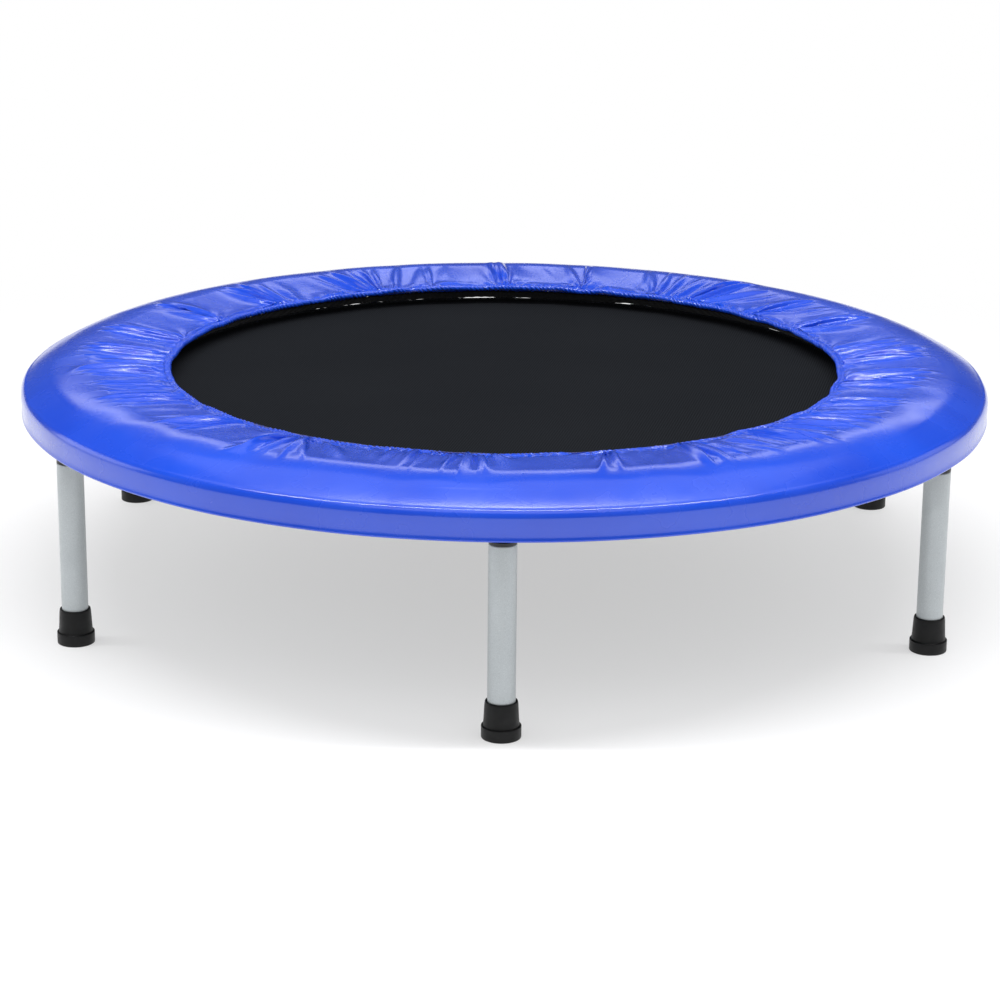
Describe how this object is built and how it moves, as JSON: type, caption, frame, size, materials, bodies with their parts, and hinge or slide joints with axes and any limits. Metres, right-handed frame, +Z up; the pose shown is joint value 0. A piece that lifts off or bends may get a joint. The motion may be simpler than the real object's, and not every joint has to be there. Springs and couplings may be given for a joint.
{
  "type": "mini trampoline",
  "caption": "Round low rebounder: sprung woven mat in a tube ring under a gathered safety pad, on screw-in tube legs with rubber feet.",
  "frame": {"origin": "on the floor under the centre of the mat", "axes": "+Z up, the mat's normal and the ring's axis; the front leg stands at -Y"},
  "size_m": [0.9649, 0.9714, 0.229],
  "materials": {
    "frame_steel": "satin",
    "zinc_screw": "satin",
    "leg_steel": "satin",
    "washer_plastic": "matte",
    "foot_rubber": "matte",
    "spring_steel": "satin",
    "ring_steel": "satin",
    "mat_fabric": "matte",
    "webbing": "matte",
    "pad_pvc": "satin",
    "pad_foam": "matte",
    "pad_elastic": "matte"
  },
  "bodies": {
    "frame": {"frame_arc_1": "frame_steel", "frame_arc_2": "frame_steel", "frame_arc_3": "frame_steel", "frame_joint_screws": "zinc_screw", "spring_1": "spring_steel", "spring_2": "spring_steel", "spring_3": "spring_steel", "spring_4": "spring_steel", "spring_5": "spring_steel", "spring_6": "spring_steel", "spring_7": "spring_steel", "spring_8": "spring_steel", "spring_9": "spring_steel", "spring_10": "spring_steel", "spring_11": "spring_steel", "spring_12": "spring_steel", "spring_13": "spring_steel", "spring_14": "spring_steel", "spring_15": "spring_steel", "spring_16": "spring_steel", "spring_17": "spring_steel", "spring_18": "spring_steel", "spring_19": "spring_steel", "spring_20": "spring_steel", "spring_21": "spring_steel", "spring_22": "spring_steel", "spring_23": "spring_steel", "spring_24": "spring_steel", "spring_25": "spring_steel", "spring_26": "spring_steel", "spring_27": "spring_steel", "spring_28": "spring_steel", "spring_29": "spring_steel", "spring_30": "spring_steel", "pad_cover": "pad_pvc", "pad_skirt": "pad_pvc", "pad_foam": "pad_foam", "pad_elastic": "pad_elastic"},
    "mat": {"mat": "mat_fabric", "mat_band": "webbing", "mat_loops": "webbing", "v_rings": "ring_steel"},
    "leg_washer_1": {"leg_washer_1": "washer_plastic"},
    "leg_1": {"leg_1": "leg_steel", "foot_1": "foot_rubber"},
    "leg_washer_2": {"leg_washer_2": "washer_plastic"},
    "leg_2": {"leg_2": "leg_steel", "foot_2": "foot_rubber"},
    "leg_washer_3": {"leg_washer_3": "washer_plastic"},
    "leg_3": {"leg_3": "leg_steel", "foot_3": "foot_rubber"},
    "leg_washer_4": {"leg_washer_4": "washer_plastic"},
    "leg_4": {"leg_4": "leg_steel", "foot_4": "foot_rubber"},
    "leg_washer_5": {"leg_washer_5": "washer_plastic"},
    "leg_5": {"leg_5": "leg_steel", "foot_5": "foot_rubber"},
    "leg_washer_6": {"leg_washer_6": "washer_plastic"},
    "leg_6": {"leg_6": "leg_steel", "foot_6": "foot_rubber"}
  },
  "joints": [
    {"name": "mat_bounce", "type": "slide", "parent": "frame", "child": "mat", "axis": [0, 0, -1], "range_m": [0, 0.04], "stiffness_N_per_m": 10000, "springref_m": -0.001, "deforming": ["spring_1", "spring_2", "spring_3", "spring_4", "spring_5", "spring_6", "spring_7", "spring_8", "spring_9", "spring_10", "spring_11", "spring_12", "spring_13", "spring_14", "spring_15", "spring_16", "spring_17", "spring_18", "spring_19", "spring_20", "spring_21", "spring_22", "spring_23", "spring_24", "spring_25", "spring_26", "spring_27", "spring_28", "spring_29", "spring_30"]},
    {"name": "leg_1_drop", "type": "slide", "parent": "frame", "child": "leg_washer_1", "axis": [0, 0, -1], "range_m": [0, 0.015]},
    {"name": "leg_1_screw", "type": "hinge", "parent": "leg_washer_1", "child": "leg_1", "pos_m": [0, -0.468, 0.18], "axis": [0, 0, -1], "range_deg": [0, 3601]},
    {"name": "leg_2_drop", "type": "slide", "parent": "frame", "child": "leg_washer_2", "axis": [0, 0, -1], "range_m": [0, 0.015]},
    {"name": "leg_2_screw", "type": "hinge", "parent": "leg_washer_2", "child": "leg_2", "pos_m": [0.4053, -0.234, 0.18], "axis": [0, 0, -1], "range_deg": [0, 3601]},
    {"name": "leg_3_drop", "type": "slide", "parent": "frame", "child": "leg_washer_3", "axis": [0, 0, -1], "range_m": [0, 0.015]},
    {"name": "leg_3_screw", "type": "hinge", "parent": "leg_washer_3", "child": "leg_3", "pos_m": [0.4053, 0.234, 0.18], "axis": [0, 0, -1], "range_deg": [0, 3601]},
    {"name": "leg_4_drop", "type": "slide", "parent": "frame", "child": "leg_washer_4", "axis": [0, 0, -1], "range_m": [0, 0.015]},
    {"name": "leg_4_screw", "type": "hinge", "parent": "leg_washer_4", "child": "leg_4", "pos_m": [0, 0.468, 0.18], "axis": [0, 0, -1], "range_deg": [0, 3601]},
    {"name": "leg_5_drop", "type": "slide", "parent": "frame", "child": "leg_washer_5", "axis": [0, 0, -1], "range_m": [0, 0.015]},
    {"name": "leg_5_screw", "type": "hinge", "parent": "leg_washer_5", "child": "leg_5", "pos_m": [-0.4053, 0.234, 0.18], "axis": [0, 0, -1], "range_deg": [0, 3601]},
    {"name": "leg_6_drop", "type": "slide", "parent": "frame", "child": "leg_washer_6", "axis": [0, 0, -1], "range_m": [0, 0.015]},
    {"name": "leg_6_screw", "type": "hinge", "parent": "leg_washer_6", "child": "leg_6", "pos_m": [-0.4053, -0.234, 0.18], "axis": [0, 0, -1], "range_deg": [0, 3601]}
  ],
  "couplings": [
    {"joint": "leg_1_screw", "follows": "leg_1_drop", "rad_per_m": 4188.8},
    {"joint": "leg_2_screw", "follows": "leg_2_drop", "rad_per_m": 4188.8},
    {"joint": "leg_3_screw", "follows": "leg_3_drop", "rad_per_m": 4188.8},
    {"joint": "leg_4_screw", "follows": "leg_4_drop", "rad_per_m": 4188.8},
    {"joint": "leg_5_screw", "follows": "leg_5_drop", "rad_per_m": 4188.8},
    {"joint": "leg_6_screw", "follows": "leg_6_drop", "rad_per_m": 4188.8}
  ]
}
